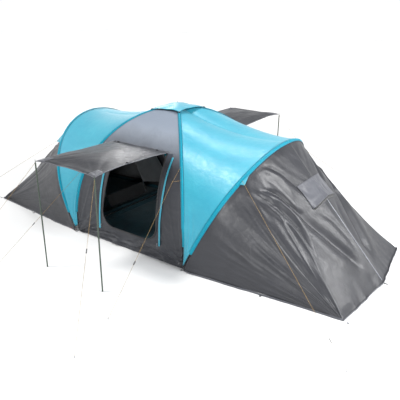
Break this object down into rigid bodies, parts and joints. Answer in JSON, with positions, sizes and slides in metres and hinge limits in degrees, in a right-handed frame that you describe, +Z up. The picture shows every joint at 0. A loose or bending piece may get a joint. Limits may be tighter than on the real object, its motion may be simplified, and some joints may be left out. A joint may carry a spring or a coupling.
{
  "type": "tunnel tent",
  "caption": "Family tunnel tent: crossed-pole living dome between two arched sleeping ends, with raised door awnings on poles, vent hoods and guy lines.",
  "frame": {"origin": "middle of the footprint at ground level", "axes": "+X along the tent's length, +Y across it away from the near door, +Z up"},
  "size_m": [7.2608, 6.8336, 1.992],
  "materials": {
    "pole": "wound fibreglass tube, satin black",
    "steel": "zinc-plated steel",
    "awning_pole": "powder-coated steel tube, dark green-grey",
    "sleeve_fabric": "woven polyester tunnel, darker blue",
    "blue_fabric": "coated polyester, light cyan-blue, soft sheen",
    "gray_fabric": "coated polyester, mid grey, soft sheen",
    "inner_fabric": "breathable polyester, dark grey",
    "groundsheet": "woven polyethylene, dark teal",
    "netting": "fine black mosquito netting",
    "webbing": "black woven webbing",
    "guy_cord": "braided cord, pale yellow",
    "black_plastic": "moulded nylon"
  },
  "bodies": {
    "awning_near": {"awning_near": "gray_fabric"},
    "awning_far": {"awning_far": "gray_fabric"},
    "vent_hood_left": {"vent_hood_left": "gray_fabric"},
    "vent_hood_right": {"vent_hood_right": "gray_fabric"},
    "zip_slider_near_left": {"zip_slider_near_left": "steel"},
    "zip_slider_near_right": {"zip_slider_near_right": "steel"},
    "zip_slider_far_left": {"zip_slider_far_left": "steel"},
    "zip_slider_far_right": {"zip_slider_far_right": "steel"},
    "runner_awning_near_left": {"runner_awning_near_left": "black_plastic"},
    "runner_awning_near_right": {"runner_awning_near_right": "black_plastic"},
    "runner_awning_far_left": {"runner_awning_far_left": "black_plastic"},
    "runner_awning_far_right": {"runner_awning_far_right": "black_plastic"},
    "runner_dome_near_left": {"runner_dome_near_left": "black_plastic"},
    "runner_dome_near_right": {"runner_dome_near_right": "black_plastic"},
    "runner_dome_far_left": {"runner_dome_far_left": "black_plastic"},
    "runner_dome_far_right": {"runner_dome_far_right": "black_plastic"},
    "runner_arch_near_left": {"runner_arch_near_left": "black_plastic"},
    "runner_arch_near_right": {"runner_arch_near_right": "black_plastic"},
    "runner_arch_far_left": {"runner_arch_far_left": "black_plastic"},
    "runner_arch_far_right": {"runner_arch_far_right": "black_plastic"},
    "tent": {"dome_pole_a": "pole", "dome_pole_b": "pole", "arch_pole_left": "pole", "arch_pole_right": "pole", "pole_ferrules": "steel", "foot_pins": "steel", "awning_poles_near": "awning_pole", "awning_poles_far": "awning_pole", "dome_sleeves": "sleeve_fabric", "arch_sleeves": "sleeve_fabric", "roof_cap": "blue_fabric", "fly_side_left": "blue_fabric", "fly_side_right": "blue_fabric", "guy_tabs": "blue_fabric", "door_zip_flaps": "blue_fabric", "roof_cap_clips": "black_plastic", "fly_front_near": "gray_fabric", "fly_front_far": "gray_fabric", "fly_end_left": "gray_fabric", "fly_end_right": "gray_fabric", "groundsheet": "groundsheet", "inner_cabin_left": "inner_fabric", "inner_cabin_right": "inner_fabric", "far_door_mesh": "netting", "vent_mesh": "netting", "foot_straps": "webbing", "hem_loops": "webbing", "ground_pegs": "steel", "guy_awning_near_left": "guy_cord", "guy_awning_near_right": "guy_cord", "guy_awning_far_left": "guy_cord", "guy_awning_far_right": "guy_cord", "guy_dome_near_left": "guy_cord", "guy_dome_near_right": "guy_cord", "guy_dome_far_left": "guy_cord", "guy_dome_far_right": "guy_cord", "guy_arch_near_left": "guy_cord", "guy_arch_near_right": "guy_cord", "guy_arch_far_left": "guy_cord", "guy_arch_far_right": "guy_cord"}
  },
  "joints": [
    {"name": "awning_near_hinge", "type": "hinge", "parent": "tent", "child": "awning_near", "pos_m": [0, -0.906, 1.492], "axis": [1, 0, 0], "range_deg": [0, 64]},
    {"name": "awning_far_hinge", "type": "hinge", "parent": "tent", "child": "awning_far", "pos_m": [0, 0.906, 1.492], "axis": [-1, 0, 0], "range_deg": [0, 64]},
    {"name": "vent_hood_left_hinge", "type": "hinge", "parent": "tent", "child": "vent_hood_left", "pos_m": [-2.2894, 0, 1.2604], "axis": [0, 1, 0], "range_deg": [0, 40]},
    {"name": "vent_hood_right_hinge", "type": "hinge", "parent": "tent", "child": "vent_hood_right", "pos_m": [2.2894, 0, 1.2604], "axis": [0, -1, 0], "range_deg": [0, 40]},
    {"name": "zip_slider_near_left_slide", "type": "slide", "parent": "tent", "child": "zip_slider_near_left", "axis": [0, 0, 1], "range_m": [0, 0.25]},
    {"name": "zip_slider_near_right_slide", "type": "slide", "parent": "tent", "child": "zip_slider_near_right", "axis": [0, 0, 1], "range_m": [0, 0.25]},
    {"name": "zip_slider_far_left_slide", "type": "slide", "parent": "tent", "child": "zip_slider_far_left", "axis": [0, 0, 1], "range_m": [0, 0.25]},
    {"name": "zip_slider_far_right_slide", "type": "slide", "parent": "tent", "child": "zip_slider_far_right", "axis": [0, 0, 1], "range_m": [0, 0.25]},
    {"name": "runner_awning_near_left_slide", "type": "slide", "parent": "tent", "child": "runner_awning_near_left", "axis": [-0.3547, -0.5442, -0.7603], "range_m": [-0.35, 0.35]},
    {"name": "runner_awning_near_right_slide", "type": "slide", "parent": "tent", "child": "runner_awning_near_right", "axis": [0.3547, -0.5442, -0.7603], "range_m": [-0.35, 0.35]},
    {"name": "runner_awning_far_left_slide", "type": "slide", "parent": "tent", "child": "runner_awning_far_left", "axis": [-0.3547, 0.5442, -0.7603], "range_m": [-0.35, 0.35]},
    {"name": "runner_awning_far_right_slide", "type": "slide", "parent": "tent", "child": "runner_awning_far_right", "axis": [0.3547, 0.5442, -0.7603], "range_m": [-0.35, 0.35]},
    {"name": "runner_dome_near_left_slide", "type": "slide", "parent": "tent", "child": "runner_dome_near_left", "axis": [-0.1417, -0.7895, -0.5971], "range_m": [-0.4, 0.3]},
    {"name": "runner_dome_near_right_slide", "type": "slide", "parent": "tent", "child": "runner_dome_near_right", "axis": [0.1417, -0.7895, -0.5971], "range_m": [-0.4, 0.3]},
    {"name": "runner_dome_far_left_slide", "type": "slide", "parent": "tent", "child": "runner_dome_far_left", "axis": [-0.1417, 0.7895, -0.5971], "range_m": [-0.4, 0.3]},
    {"name": "runner_dome_far_right_slide", "type": "slide", "parent": "tent", "child": "runner_dome_far_right", "axis": [0.1417, 0.7895, -0.5971], "range_m": [-0.4, 0.3]},
    {"name": "runner_arch_near_left_slide", "type": "slide", "parent": "tent", "child": "runner_arch_near_left", "axis": [-0.7475, -0.4027, -0.5284], "range_m": [-0.5, 0.2]},
    {"name": "runner_arch_near_right_slide", "type": "slide", "parent": "tent", "child": "runner_arch_near_right", "axis": [0.7475, -0.4027, -0.5284], "range_m": [-0.5, 0.2]},
    {"name": "runner_arch_far_left_slide", "type": "slide", "parent": "tent", "child": "runner_arch_far_left", "axis": [-0.7475, 0.4027, -0.5284], "range_m": [-0.5, 0.2]},
    {"name": "runner_arch_far_right_slide", "type": "slide", "parent": "tent", "child": "runner_arch_far_right", "axis": [0.7475, 0.4027, -0.5284], "range_m": [-0.5, 0.2]}
  ]
}
